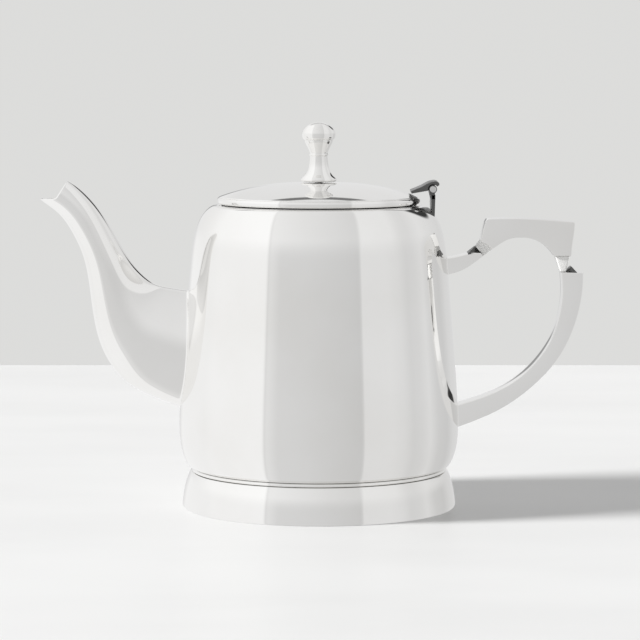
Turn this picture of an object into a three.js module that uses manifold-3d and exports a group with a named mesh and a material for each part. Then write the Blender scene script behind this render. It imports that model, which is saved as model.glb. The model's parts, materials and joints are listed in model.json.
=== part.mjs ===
// A silver-plated teapot: round tapering body on a hollow foot, swan-neck spout, insulated angular
// handle, and a domed lid on a stand-away hinge. Millimetres, +Z up, spout towards -X, handle
// towards +X. The origin is at the middle of the whole pot's footprint, on the table.

import * as THREE from "three";
import { mergeVertices } from "three/addons/utils/BufferGeometryUtils.js";
import Module from "manifold-3d";

const wasm = await Module();
wasm.setup();

// ---------------------------------------------------------------- driving dimensions

const POT_AXIS_X = 3.4; // the body's axis stands this far from the middle of the footprint
const GAP = 0.3; // clearance between pieces that touch
const ROUND_SEGMENTS = 36; // facets round the body, foot and lid

const BODY_WALL = 1.1;
const BODY_BOTTOM_Z = 17.6;
const BODY_MOUTH_R = 45.5;
const BODY_MOUTH_Z = 133.3;

const COLLAR_INNER_R = 43;
const COLLAR_BOTTOM_Z = 129.5;
const COLLAR_TOP_Z = 133.5;

const FOOT_R = 60.5;
const FOOT_TOP_Z = 15.7;
const FOOT_FLANGE_R = 52.2; // inner radius of the flange under the base
const FOOT_FLANGE_THICKNESS = 1.3;
const FOOT_WIRE_R = 57.9; // inner radius of the thick wire that the foot stands on

const LID_R = 44.8;
const LID_RIM_INNER_R = 41.2;
const LID_RIM_BOTTOM_Z = COLLAR_TOP_Z + GAP;
const LID_RIM_TOP_Z = 136.6;
const BEZEL_R = 41; // inner radius of the flange that locates the lid
const BEZEL_BOTTOM_Z = 129.9;
const DOME_EDGE_R = 44.3;
const DOME_TOP_Z = 143.4;
const DOME_RISE = 6.5;
const DOME_FULLNESS = 2.6; // 2 would be a parabola, more is flatter on top
const DOME_THICKNESS = 1;

const STUD_R = 1.6;
const STUD_BOTTOM_Z = 136.4;
const STUD_TOP_Z = 150.6;
const WASHER_R = 6;
const WASHER_THICKNESS = 1;
const WASHER_TOP_Z = DOME_TOP_Z - DOME_THICKNESS - GAP - 0.1;
const NUT_CORNER_R = 3.9;
const NUT_HEIGHT = 3.2;
const FINIAL_BALL_R = 7.5;

const HINGE_PIN = { x: 49.9, z: 140.6 }; // where the hinge axis crosses the XZ plane
const HINGE_PIN_R = 0.9;
const KNUCKLE_R = 1.8;
const KNUCKLE_LENGTH = 3.4;
const KNUCKLE_COUNT = 5;
const HINGE_WIDTH = KNUCKLE_COUNT * KNUCKLE_LENGTH + (KNUCKLE_COUNT - 1) * GAP;
const HINGE_PIN_HEAD_R = 1.5;
const HINGE_PIN_HEAD_LENGTH = 0.6;
const HINGE_PLATE = { left: 0.9, right: 0.7, bottomZ: 126 }; // its faces either side of the pin
const LID_STRIP = {
  clearance: 0.35, // between the knuckles and the strip that wraps them
  tipDeg: 27, // where the strip's tip ends round the pin, from the horizontal
  heelDeg: 196, // where its underside meets the knuckles
  tipR: 3.3,
};

const SPOUT_WALL = 1.2;
const SPOUT_ROOT_WIDTH = 34;
const SPOUT_MOUTH_WIDTH = 14;
const SPOUT_PEAR = 0.22; // how much wider the root is below its middle than above
const SPOUT_SIDES = 20;
const SPOUT_RINGS = 22;
const STRAINER = { bottomZ: 40, topZ: 100, width: 38, thickness: 1 };
const STRAINER_HOLES = { radius: 1.6, pitch: 7.6, middleZ: 68 };

// Where the spout's top and bottom lines run, in pairs from inside the body to past the lip.
const SPOUT_STATIONS = [
  { top: [-50, 95.2], bottom: [-50, 42.8] },
  { top: [-58, 95.7], bottom: [-61.5, 44.2] },
  { top: [-66, 96.9], bottom: [-78.7, 51] },
  { top: [-72.5, 98.5], bottom: [-90.3, 60.5] },
  { top: [-78.2, 102.9], bottom: [-98.4, 78.5] },
  { top: [-83.1, 108.7], bottom: [-101.3, 98] },
  { top: [-87.9, 116.4], bottom: [-103.6, 110] },
  { top: [-92.5, 124.6], bottom: [-107.2, 118.5] },
  { top: [-98.2, 133.2], bottom: [-111.6, 126] },
  { top: [-105.1, 140.4], bottom: [-116.1, 130.9] },
  { top: [-111.2, 144.6], bottom: [-120.6, 134.2] },
  { top: [-118.6, 149.4], bottom: [-128.1, 140.1] },
];
const SPOUT_PEAK = [-110.4, 144.3];
const SPOUT_CORNER = [-115.2, 136.6]; // where the mouth's cut turns out along the lip
const SPOUT_TIP = [-122.9, 136.3];

const HANDLE_WIDTH = 12;
const INSULATOR_WIDTH = 10;

// Each joint of the handle: the middle of the metal arm's end, the middle of the grip's end, and
// the corners of the insulator between them.
const HANDLE_JOINTS = {
  upper: {
    arm: [70.7, 113.2],
    grip: [73.6, 115.9],
    corners: [
      [69.2, 115.2],
      [72.7, 111.7],
      [76.1, 113.9],
      [71.1, 117.3],
    ],
  },
  lower: {
    arm: [108, 104],
    grip: [106.8, 111.1],
    corners: [
      [103.9, 110.8],
      [106.6, 104.3],
      [108.6, 104.3],
      [110.1, 110.8],
    ],
  },
};
const SPUR_BEVEL = { depth: 6, height: 6 }; // the slope that narrows each arm's pointed end
const PEG = { length: 4, thickness: 2.6, width: 6 }; // the insulators' tenons
const PEG_PIN_R = 0.7;
const PEG_PIN_INSET = 2.2; // from the joint face to the pin that crosses the peg

// ---------------------------------------------------------------- materials

const silver = { color: 0xdcdbd7, metalness: 1, roughness: 0.08 };
const satinSilver = { color: 0xc9c8c3, metalness: 1, roughness: 0.3 };
const hingeMetal = { color: 0x6e6e6c, metalness: 1, roughness: 0.4 };
const steel = { color: 0xb4b4b4, metalness: 1, roughness: 0.35 };
const composition = { color: 0xd6d4cd, metalness: 0, roughness: 0.45 };

// ---------------------------------------------------------------- helpers

// An outline drawn step by step: [a, b] is a straight line to that corner, and a list of such
// pairs is a smooth run through them, starting at the corner before it.
function outline(steps) {
  const shape = new THREE.Shape();
  const [start, ...rest] = steps;
  shape.moveTo(...start);
  for (const step of rest) {
    if (Array.isArray(step[0])) {
      shape.splineThru(step.map(([a, b]) => new THREE.Vector2(a, b)));
    } else {
      shape.lineTo(...step);
    }
  }
  return shape;
}

// A ring or disc turned about Z from an outline of (radius, height). An outline that doesn't
// start and end on the axis is closed on itself.
function turned(shape, { segments = ROUND_SEGMENTS, divisions = 2 } = {}) {
  const points = Array.isArray(shape) ? [...shape] : shape.getPoints(divisions);
  const onAxis = points[0].x === 0 && points.at(-1).x === 0;
  if (!onAxis && !points[0].equals(points.at(-1))) points.push(points[0].clone());
  if (THREE.ShapeUtils.isClockWise(points)) points.reverse();
  return new THREE.LatheGeometry(points, segments).rotateX(Math.PI / 2);
}

// The points of a thin wall: the outer line as given, and back along the same line moved in by
// the wall's thickness, measured square to the line.
function shellPoints(outer, wall) {
  return [...outer, ...moved(outer, wall).reverse()];
}

// A line of (radius, height) points moved to its left, which is inwards on a wall drawn upwards.
function moved(points, distance) {
  return points.map((point, i) => {
    const before = points[Math.max(i - 1, 0)];
    const after = points[Math.min(i + 1, points.length - 1)];
    const along = after.clone().sub(before).normalize();
    return new THREE.Vector2(point.x - along.y * distance, point.y + along.x * distance);
  });
}

// A plate whose outline lies in the XZ plane, with its width centred on y = 0.
function acrossY(shape, width, divisions = 2) {
  return new THREE.ExtrudeGeometry(shape, { depth: width, bevelEnabled: false, curveSegments: divisions })
    .rotateX(Math.PI / 2)
    .translate(0, width / 2, 0);
}

// A round bar along Y.
function barAlongY(radius, length, segments = 16) {
  return new THREE.CylinderGeometry(radius, radius, length, segments);
}

// A solid drawn through rings of points, each ring with the same number of points.
function lofted(rings) {
  const count = rings[0].length;
  const middles = [rings[0], rings.at(-1)].map((ring) =>
    ring.reduce((sum, p) => sum.add(p), new THREE.Vector3()).divideScalar(count),
  );
  const points = [...rings.flat(), ...middles];
  const firstMiddle = points.length - 2;
  const lastMiddle = points.length - 1;
  const lastRing = (rings.length - 1) * count;
  const faces = [];
  for (let i = 0; i < count; i++) {
    const next = (i + 1) % count;
    for (let j = 0; j < rings.length - 1; j++) {
      const here = j * count;
      const there = here + count;
      faces.push(here + i, here + next, there + i, here + next, there + next, there + i);
    }
    faces.push(firstMiddle, next, i, lastMiddle, lastRing + i, lastRing + next);
  }
  return new THREE.BufferGeometry().setFromPoints(points).setIndex(faces);
}

function solid(geometry) {
  const bare = geometry.clone();
  bare.deleteAttribute("normal");
  bare.deleteAttribute("uv");
  const merged = mergeVertices(bare, 1e-4);
  const mesh = new wasm.Mesh({
    numProp: 3,
    vertProperties: merged.attributes.position.array,
    triVerts: new Uint32Array(merged.index.array),
  });
  return new wasm.Manifold(mesh);
}

function geometryOf(made) {
  const mesh = made.getMesh();
  const geometry = new THREE.BufferGeometry();
  geometry.setAttribute("position", new THREE.BufferAttribute(mesh.vertProperties, 3));
  geometry.setIndex(new THREE.BufferAttribute(mesh.triVerts, 1));
  geometry.computeVertexNormals();
  return geometry;
}

function cut(piece, ...tools) {
  return geometryOf(tools.reduce((rest, tool) => rest.subtract(solid(tool)), solid(piece)));
}

function joined(first, ...others) {
  return geometryOf(others.reduce((sum, other) => sum.add(solid(other)), solid(first)));
}

function overlapOf(first, second) {
  return geometryOf(solid(first).intersect(solid(second)));
}

function named(name, geometry, finish) {
  const mesh = new THREE.Mesh(geometry, new THREE.MeshStandardMaterial(finish));
  mesh.name = name;
  return mesh;
}

// ---------------------------------------------------------------- body, foot and collar

// The body's outer line, from the middle of its base up to its mouth: a rounded bottom edge, a
// straight tapering wall and a rounded shoulder.
const bodyLine = outline([
  [0, BODY_BOTTOM_Z],
  [55.8, BODY_BOTTOM_Z],
  [[57.6, 18.5], [59.1, 21], [60.5, 24.8], [61.4, 30], [61.7, 37.5], [61.4, 47.3]],
  [56.6, 107.5],
  [[55.9, 114.5], [54.4, 121.8], [52.3, 127.2], [49.2, 131.3], [BODY_MOUTH_R, BODY_MOUTH_Z]],
]).getPoints(1);

// A solid of the body's outer shape, grown or shrunk, that trims what meets the wall.
function bodyBlock(growth) {
  const line = growth ? moved(bodyLine, -growth) : [...bodyLine];
  line[0].x = 0;
  return turned([...line, new THREE.Vector2(0, line.at(-1).y)]);
}

function bodyShell() {
  const shell = turned(shellPoints(bodyLine, BODY_WALL));
  const bore = turned(
    outline([
      [0, COLLAR_BOTTOM_Z - 4],
      [BODY_MOUTH_R, COLLAR_BOTTOM_Z - 4],
      [BODY_MOUTH_R, BODY_MOUTH_Z + 4],
      [0, BODY_MOUTH_Z + 4],
    ]),
  );
  return cut(shell, bore, spoutBlock(SPOUT_WALL));
}

function footRing() {
  const flangeBottomZ = FOOT_TOP_Z - FOOT_FLANGE_THICKNESS;
  return turned(
    outline([
      [FOOT_WIRE_R, 0],
      [60, 0],
      [[FOOT_R, 0.6], [60.4, 2], [60, 4.8]],
      [[59.5, 8.3], [58.6, 11.9], [57.4, 14.9]],
      [56.6, FOOT_TOP_Z],
      [FOOT_FLANGE_R, FOOT_TOP_Z],
      [FOOT_FLANGE_R, flangeBottomZ],
      [55.7, flangeBottomZ],
      [[57.1, 11.4], [58, 8.1], [58.6, 4.8]],
      [58.6, 2.4],
      [FOOT_WIRE_R, 2],
      [FOOT_WIRE_R, 0],
    ]),
    { divisions: 1 },
  );
}

// The half-round wire soldered into the groove between the foot and the body.
function footBead() {
  const bottom = FOOT_TOP_Z + GAP;
  const top = BODY_BOTTOM_Z - GAP;
  return turned(
    outline([
      [53.4, bottom],
      [55.8, bottom],
      [[56.4, (bottom + top) / 2], [55.8, top]],
      [53.4, top],
      [53.4, bottom],
    ]),
  );
}

function mouthCollar() {
  const outerR = BODY_MOUTH_R - GAP;
  return turned(
    outline([
      [COLLAR_INNER_R, COLLAR_BOTTOM_Z],
      [outerR, COLLAR_BOTTOM_Z],
      [outerR, COLLAR_TOP_Z - 0.5],
      [outerR - 0.5, COLLAR_TOP_Z],
      [COLLAR_INNER_R, COLLAR_TOP_Z],
      [COLLAR_INNER_R, COLLAR_BOTTOM_Z],
    ]),
  );
}

// ---------------------------------------------------------------- spout

function spoutLine(side) {
  return new THREE.CatmullRomCurve3(
    SPOUT_STATIONS.map((station) => new THREE.Vector3(station[side][0], 0, station[side][1])),
  );
}

// The spout as a solid bar, its surface moved in by inset.
function spoutBlock(inset) {
  const topLine = spoutLine("top");
  const bottomLine = spoutLine("bottom");
  const rings = [];
  for (let j = 0; j < SPOUT_RINGS; j++) {
    const t = j / (SPOUT_RINGS - 1);
    const top = topLine.getPoint(t);
    const bottom = bottomLine.getPoint(t);
    const middle = top.clone().add(bottom).divideScalar(2);
    const halfHeight = top.distanceTo(bottom) / 2 - inset;
    const upward = top.clone().sub(bottom).normalize();
    const slimming = Math.pow(1 - t, 1.6);
    const width = SPOUT_MOUTH_WIDTH + (SPOUT_ROOT_WIDTH - SPOUT_MOUTH_WIDTH) * slimming;
    const ring = [];
    for (let i = 0; i < SPOUT_SIDES; i++) {
      const angle = (2 * Math.PI * i) / SPOUT_SIDES;
      const up = Math.cos(angle) * halfHeight;
      const out = Math.sin(angle) * (width / 2 - inset) * (1 - SPOUT_PEAR * slimming * Math.cos(angle));
      ring.push(middle.clone().addScaledVector(upward, up).add(new THREE.Vector3(0, out, 0)));
    }
    rings.push(ring);
  }
  return lofted(rings);
}

// The block that cuts the mouth open: straight down from its peak, then out along the lip.
function mouthCutter() {
  const beyond = (from, to, times) => to.map((v, i) => from[i] + (v - from[i]) * times);
  const above = beyond(SPOUT_CORNER, SPOUT_PEAK, 2);
  const ahead = beyond(SPOUT_CORNER, SPOUT_TIP, 3);
  return acrossY(outline([SPOUT_CORNER, above, [ahead[0], above[1]], ahead, SPOUT_CORNER]), 40);
}

function spout() {
  return cut(spoutBlock(0), spoutBlock(SPOUT_WALL), bodyBlock(GAP), mouthCutter());
}

// A pierced plate that follows the inside of the body across the spout's root.
function spoutStrainer() {
  const wallX = -57;
  const through = 20;
  const margin = 18; // the ring is taller than the plate that is cut out of it
  const outer = moved(bodyLine, BODY_WALL + GAP).filter(
    (point) => point.y > STRAINER.bottomZ - 2 && point.y < STRAINER.topZ + margin,
  );
  const ring = turned(shellPoints(outer, STRAINER.thickness));
  const height = STRAINER.topZ - STRAINER.bottomZ;
  const middleZ = (STRAINER.topZ + STRAINER.bottomZ) / 2;
  const window = new THREE.BoxGeometry(through, STRAINER.width, height).translate(wallX, 0, middleZ);
  const holes = [];
  for (let row = -2; row <= 2; row++) {
    const across = row % 2 === 0 ? [-1, 0, 1] : [-0.5, 0.5];
    for (const step of across) {
      const { radius, pitch } = STRAINER_HOLES;
      const hole = new THREE.CylinderGeometry(radius, radius, through, 8);
      const z = STRAINER_HOLES.middleZ + row * pitch;
      holes.push(hole.rotateZ(Math.PI / 2).translate(wallX, step * pitch, z));
    }
  }
  return cut(overlapOf(ring, window), ...holes);
}

// ---------------------------------------------------------------- handle

// Places measured along a joint from the arm's end towards the grip, as a point and an angle.
function alongJoint({ arm, grip }) {
  const from = new THREE.Vector2(...arm);
  const to = new THREE.Vector2(...grip);
  const way = to.clone().sub(from).normalize();
  return {
    angle: way.angle(),
    middle: from.clone().add(to).divideScalar(2),
    length: from.distanceTo(to),
    armPin: from.clone().addScaledVector(way, -PEG_PIN_INSET),
    gripPin: to.clone().addScaledVector(way, PEG_PIN_INSET),
  };
}

// The tenon that runs through an insulator into the arm and the grip, grown by slack for its
// pockets.
function peg(joint, slack = 0) {
  const { angle, middle, length } = alongJoint(joint);
  const reach = length + 2 * (PEG.length + slack);
  return new THREE.BoxGeometry(reach, PEG.width + 2 * slack, PEG.thickness + 2 * slack)
    .rotateY(-angle)
    .translate(middle.x, 0, middle.y);
}

function pegPin(point, slack = 0) {
  const length = HANDLE_WIDTH + (slack ? 4 : 0);
  return barAlongY(PEG_PIN_R + slack, length, 12).translate(point.x, 0, point.y);
}

// Two wedges along X that slope a spur's sides inwards above a given height.
function spurBevels({ fromX, toX, baseZ }) {
  return [-1, 1].map((side) => {
    const edge = side * (HANDLE_WIDTH / 2 + 1);
    const bottomZ = baseZ - 1;
    const topZ = bottomZ + SPUR_BEVEL.height;
    const slope = outline([
      [edge, bottomZ],
      [edge, topZ],
      [edge - side * SPUR_BEVEL.depth, topZ],
      [edge, bottomZ],
    ]);
    return new THREE.ExtrudeGeometry(slope, { depth: toX - fromX, bevelEnabled: false })
      .rotateX(Math.PI / 2)
      .rotateZ(Math.PI / 2)
      .translate(fromX, 0, 0);
  });
}

function upperArm() {
  const { armPin } = alongJoint(HANDLE_JOINTS.upper);
  const arm = acrossY(
    outline([
      [53, 110],
      [[56.8, 110.3], [61.5, 111.2], [66, 112.3]],
      [68.8, 115.1],
      [72.4, 111.4],
      [[69, 108.9], [63.4, 105.1], [56.8, 103]],
      [53, 102.2],
      [53, 110],
    ]),
    HANDLE_WIDTH,
  );
  const bevels = spurBevels({ fromX: 64, toX: 74, baseZ: 112.3 });
  return cut(arm, bodyBlock(GAP), peg(HANDLE_JOINTS.upper, GAP), pegPin(armPin, GAP), ...bevels);
}

function lowerArm() {
  const { armPin } = alongJoint(HANDLE_JOINTS.lower);
  const arm = acrossY(
    outline([
      [54, 43],
      [54, 33.2],
      [61, 35.4],
      [[75.3, 41.1], [92.9, 52.1], [105.4, 66], [113.2, 83], [116, 97], [116.1, 103.7]],
      [113.9, 103.9],
      [111.2, 106.4],
      [108.8, 104],
      [106.5, 104],
      [[107.1, 95.5], [104.7, 81], [98.6, 68.2], [87.6, 56.6], [75, 49.9], [61.2, 45.2]],
      [54, 43],
    ]),
    HANDLE_WIDTH,
  );
  const bevels = spurBevels({ fromX: 108, toX: 118, baseZ: 104 });
  return cut(arm, bodyBlock(GAP), peg(HANDLE_JOINTS.lower, GAP), pegPin(armPin, GAP), ...bevels);
}

function handleGrip() {
  const grip = acrossY(
    outline([
      [71.1, 117.7],
      [[72.2, 122.6], [73.2, 126.6], [74.4, 127.5]],
      [[84, 127.7], [99.5, 127.1], [111.4, 126.1]],
      [[112.2, 125.2], [111.3, 118.5], [110.9, 111.1]],
      [103.4, 111.1],
      [[99.5, 115.7], [94.5, 118.3], [88.5, 119.2], [82.6, 118.1], [76.4, 114.2]],
      [71.1, 117.7],
    ]),
    HANDLE_WIDTH,
  );
  const pins = Object.values(HANDLE_JOINTS).map((joint) => pegPin(alongJoint(joint).gripPin, GAP));
  const pockets = Object.values(HANDLE_JOINTS).map((joint) => peg(joint, GAP));
  return cut(grip, ...pockets, ...pins);
}

function insulator(joint) {
  const { armPin, gripPin } = alongJoint(joint);
  const block = acrossY(outline([...joint.corners, joint.corners[0]]), INSULATOR_WIDTH);
  return cut(joined(block, peg(joint)), pegPin(armPin, GAP), pegPin(gripPin, GAP));
}

// ---------------------------------------------------------------- lid and finial

function domeZ(r) {
  return DOME_TOP_Z - DOME_RISE * Math.pow(r / DOME_EDGE_R, DOME_FULLNESS);
}

// The radius at which the dome stands at a given height.
function domeR(z) {
  return DOME_EDGE_R * Math.pow((DOME_TOP_Z - z) / DOME_RISE, 1 / DOME_FULLNESS);
}

function lidShell() {
  const hole = STUD_R + GAP;
  const steps = 6;
  const innerEdgeR = domeR(domeZ(DOME_EDGE_R) + DOME_THICKNESS);
  const points = [];
  for (let i = 0; i <= steps; i++) {
    const r = hole + ((DOME_EDGE_R - hole) * (steps - i)) / steps;
    points.push(new THREE.Vector2(r, domeZ(r)));
  }
  for (let i = 0; i <= steps; i++) {
    const r = hole + ((innerEdgeR - hole) * i) / steps;
    points.push(new THREE.Vector2(r, domeZ(r) - DOME_THICKNESS));
  }
  return turned(points);
}

function lidRim() {
  return turned(
    outline([
      [LID_RIM_INNER_R, LID_RIM_BOTTOM_Z],
      [LID_R - 1.2, LID_RIM_BOTTOM_Z],
      [[LID_R, 135.1], [LID_R - 0.3, 136.2]],
      [LID_R - 0.8, LID_RIM_TOP_Z],
      [LID_RIM_INNER_R, LID_RIM_TOP_Z],
      [LID_RIM_INNER_R, LID_RIM_BOTTOM_Z],
    ]),
  );
}

// The flange that drops inside the collar. It tapers, so that it swings clear as the lid opens.
function lidBezel() {
  return turned(
    outline([
      [BEZEL_R, BEZEL_BOTTOM_Z],
      [BEZEL_R + 0.6, BEZEL_BOTTOM_Z],
      [BEZEL_R + 1.2, COLLAR_TOP_Z],
      [BEZEL_R, COLLAR_TOP_Z],
      [BEZEL_R, BEZEL_BOTTOM_Z],
    ]),
  );
}

function finial() {
  const hole = STUD_R + GAP;
  const baseZ = DOME_TOP_Z + GAP;
  return turned(
    outline([
      [0, 152],
      [hole, 151],
      [hole, baseZ],
      [7.6, baseZ],
      [[8.05, 144.6], [5.8, 147], [4.2, 149.6], [3.7, 154.6]],
      [4.1, 155.3],
      [3.9, 156.1],
      [[5.1, 158.4], [6.9, 160.7], [FINIAL_BALL_R, 163.2], [6.6, 166.8], [4.1, 169.1], [0, 169.8]],
    ]),
    { segments: 24, divisions: 1 },
  );
}

function finialStud() {
  const line = outline([
    [0, STUD_BOTTOM_Z],
    [STUD_R, STUD_BOTTOM_Z],
    [STUD_R, STUD_TOP_Z],
    [0, STUD_TOP_Z],
  ]);
  return turned(line, { segments: 16 });
}

function finialWasher() {
  const hole = STUD_R + GAP;
  const bottom = WASHER_TOP_Z - WASHER_THICKNESS;
  const line = outline([
    [hole, bottom],
    [WASHER_R, bottom],
    [WASHER_R, WASHER_TOP_Z],
    [hole, WASHER_TOP_Z],
    [hole, bottom],
  ]);
  return turned(line, { segments: 24 });
}

function finialNut() {
  const shape = new THREE.Shape();
  for (let i = 0; i < 6; i++) {
    const corner = new THREE.Vector2(NUT_CORNER_R, 0).rotateAround(new THREE.Vector2(), (i * Math.PI) / 3);
    if (i === 0) shape.moveTo(corner.x, corner.y);
    else shape.lineTo(corner.x, corner.y);
  }
  shape.holes.push(new THREE.Path().absarc(0, 0, STUD_R + GAP, 0, 2 * Math.PI, true));
  const nut = new THREE.ExtrudeGeometry(shape, { depth: NUT_HEIGHT, bevelEnabled: false, curveSegments: 16 });
  return nut.translate(0, 0, WASHER_TOP_Z - WASHER_THICKNESS - GAP - NUT_HEIGHT);
}

// ---------------------------------------------------------------- hinge

// The hinge's knuckles in order along Y: even ones belong to the body, odd ones to the lid.
function knuckles(parity) {
  const places = [];
  for (let i = parity; i < KNUCKLE_COUNT; i += 2) {
    places.push(-HINGE_WIDTH / 2 + KNUCKLE_LENGTH / 2 + i * (KNUCKLE_LENGTH + GAP));
  }
  return places;
}

function atPin(geometry, y = 0) {
  return geometry.translate(HINGE_PIN.x, y, HINGE_PIN.z);
}

const pinHole = () => atPin(barAlongY(HINGE_PIN_R + GAP, HINGE_WIDTH + 6));

// The upright plate on the shoulder, with the outer and middle knuckles rolled on its top edge.
function bodyHingeLeaf() {
  const left = HINGE_PIN.x - HINGE_PLATE.left;
  const right = HINGE_PIN.x + HINGE_PLATE.right;
  const plateTop = HINGE_PIN.z - KNUCKLE_R - 2 * GAP;
  const plate = acrossY(
    outline([
      [left, HINGE_PLATE.bottomZ],
      [right, HINGE_PLATE.bottomZ],
      [right, plateTop],
      [left, plateTop],
      [left, HINGE_PLATE.bottomZ],
    ]),
    HINGE_WIDTH,
  );
  const tab = outline([
    [left, plateTop - 1],
    [right, plateTop - 1],
    [right, HINGE_PIN.z],
    [left, HINGE_PIN.z],
    [left, plateTop - 1],
  ]);
  const added = knuckles(0).flatMap((y) => [
    acrossY(tab, KNUCKLE_LENGTH).translate(0, y, 0),
    atPin(barAlongY(KNUCKLE_R, KNUCKLE_LENGTH), y),
  ]);
  return cut(joined(plate, ...added), pinHole(), bodyBlock(GAP));
}

// The strip from the dome out over the pin. Its tip curls over the knuckles and comes up against
// the upright plate when the lid is fully open.
function lidHingeLeaf() {
  const clear = KNUCKLE_R + LID_STRIP.clearance;
  const tipAngle = THREE.MathUtils.degToRad(LID_STRIP.tipDeg);
  const backAngle = THREE.MathUtils.degToRad(LID_STRIP.heelDeg);
  const strip = new THREE.Shape();
  strip.moveTo(40.3, 139.6);
  strip.lineTo(41, 138.6);
  strip.lineTo(HINGE_PIN.x + clear * Math.cos(backAngle), HINGE_PIN.z + clear * Math.sin(backAngle));
  strip.absarc(HINGE_PIN.x, HINGE_PIN.z, clear, backAngle, tipAngle, true);
  strip.lineTo(
    HINGE_PIN.x + LID_STRIP.tipR * Math.cos(tipAngle),
    HINGE_PIN.z + LID_STRIP.tipR * Math.sin(tipAngle),
  );
  strip.splineThru([new THREE.Vector2(52.6, 143.3), new THREE.Vector2(50.6, 144)]);
  strip.lineTo(47, 142.9);
  strip.lineTo(40.3, 139.6);
  const web = new THREE.Shape();
  web.moveTo(HINGE_PIN.x, HINGE_PIN.z);
  web.absarc(HINGE_PIN.x, HINGE_PIN.z, clear + 0.2, Math.PI / 3, backAngle, false);
  web.lineTo(HINGE_PIN.x, HINGE_PIN.z);
  const added = knuckles(1).flatMap((y) => [
    acrossY(web, KNUCKLE_LENGTH, 8).translate(0, y, 0),
    atPin(barAlongY(KNUCKLE_R, KNUCKLE_LENGTH), y),
  ]);
  return cut(joined(acrossY(strip, HINGE_WIDTH, 10), ...added), pinHole(), domeBlock());
}

// A solid of the dome's outer shape grown by the gap, that trims what stands on the lid.
function domeBlock() {
  const points = [new THREE.Vector2(0, 130), new THREE.Vector2(DOME_EDGE_R, 130)];
  for (let r = DOME_EDGE_R; r > 0; r -= 4) points.push(new THREE.Vector2(r, domeZ(r) + GAP));
  points.push(new THREE.Vector2(0, DOME_TOP_Z + GAP));
  return turned(points);
}

function hingePin() {
  const underHead = HINGE_WIDTH / 2 + GAP;
  const end = underHead + HINGE_PIN_HEAD_LENGTH;
  const chamfer = 0.3;
  const pin = turned(
    outline([
      [0, -end],
      [HINGE_PIN_HEAD_R - chamfer, -end],
      [HINGE_PIN_HEAD_R, -end + chamfer],
      [HINGE_PIN_HEAD_R, -underHead],
      [HINGE_PIN_R, -underHead],
      [HINGE_PIN_R, underHead],
      [HINGE_PIN_HEAD_R, underHead],
      [HINGE_PIN_HEAD_R, end - chamfer],
      [HINGE_PIN_HEAD_R - chamfer, end],
      [0, end],
    ]),
    { segments: 16 },
  );
  return atPin(pin.rotateX(Math.PI / 2));
}

// ---------------------------------------------------------------- assembly

const body = new THREE.Group();
body.add(
  named("body_shell", bodyShell(), silver),
  named("mouth_collar", mouthCollar(), silver),
  named("foot_ring", footRing(), silver),
  named("foot_bead", footBead(), silver),
  named("spout", spout(), silver),
  named("spout_strainer", spoutStrainer(), satinSilver),
);

const handle = new THREE.Group();
handle.add(
  named("handle_upper_arm", upperArm(), silver),
  named("handle_lower_arm", lowerArm(), silver),
  named("handle_grip", handleGrip(), silver),
);
for (const [end, joint] of Object.entries(HANDLE_JOINTS)) {
  const { armPin, gripPin } = alongJoint(joint);
  handle.add(
    named(`${end}_insulator`, insulator(joint), composition),
    named(`${end}_arm_peg_pin`, pegPin(armPin), silver),
    named(`${end}_grip_peg_pin`, pegPin(gripPin), silver),
  );
}

const lid = new THREE.Group();
lid.add(
  named("lid_shell", lidShell(), silver),
  named("lid_rim", lidRim(), silver),
  named("lid_bezel", lidBezel(), silver),
  named("finial", finial(), silver),
  named("finial_stud", finialStud(), steel),
  named("finial_washer", finialWasher(), satinSilver),
  named("finial_nut", finialNut(), steel),
);

const hinge = new THREE.Group();
hinge.add(
  named("lid_hinge_leaf", lidHingeLeaf(), hingeMetal),
  named("body_hinge_leaf", bodyHingeLeaf(), hingeMetal),
  named("hinge_pin", hingePin(), steel),
);

const teapot = new THREE.Group();
teapot.add(body, handle, lid, hinge);
teapot.position.x = POT_AXIS_X;

export default teapot;
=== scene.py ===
"""The look of a silver teapot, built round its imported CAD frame.

Outlines are in millimetres from the pot's axis and the table, and pieces are made in metres.
The spout points to -X and the handle to +X.
"""

import json
import math

import bmesh
import bpy
import numpy as np
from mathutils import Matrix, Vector


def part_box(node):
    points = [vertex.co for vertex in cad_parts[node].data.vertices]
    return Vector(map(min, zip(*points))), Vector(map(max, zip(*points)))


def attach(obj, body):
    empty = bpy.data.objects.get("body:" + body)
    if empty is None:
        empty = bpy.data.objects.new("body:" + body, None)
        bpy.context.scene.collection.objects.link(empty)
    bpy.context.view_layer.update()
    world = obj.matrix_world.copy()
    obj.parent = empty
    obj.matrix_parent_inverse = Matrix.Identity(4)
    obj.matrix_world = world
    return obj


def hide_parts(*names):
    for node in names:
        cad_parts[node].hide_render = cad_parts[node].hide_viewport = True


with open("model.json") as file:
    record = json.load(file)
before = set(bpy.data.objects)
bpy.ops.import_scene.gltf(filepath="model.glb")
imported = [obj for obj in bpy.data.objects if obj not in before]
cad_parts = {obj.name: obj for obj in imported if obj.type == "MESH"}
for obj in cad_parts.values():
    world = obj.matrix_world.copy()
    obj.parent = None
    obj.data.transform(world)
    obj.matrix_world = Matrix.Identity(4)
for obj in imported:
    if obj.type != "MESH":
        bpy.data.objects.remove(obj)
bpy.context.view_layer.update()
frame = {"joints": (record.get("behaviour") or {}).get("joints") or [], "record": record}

# ---------------------------------------------------------------- sizes, in millimetres

MM = 0.001
body_low, body_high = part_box("body_shell")
AXIS_X = (body_low.x + body_high.x) / 2 / MM  # the pot's axis in the frame
pin_at = Vector(frame["joints"][0]["pos_m"]) / MM
PIN_X = pin_at.x - AXIS_X
PIN_Z = pin_at.z

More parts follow.
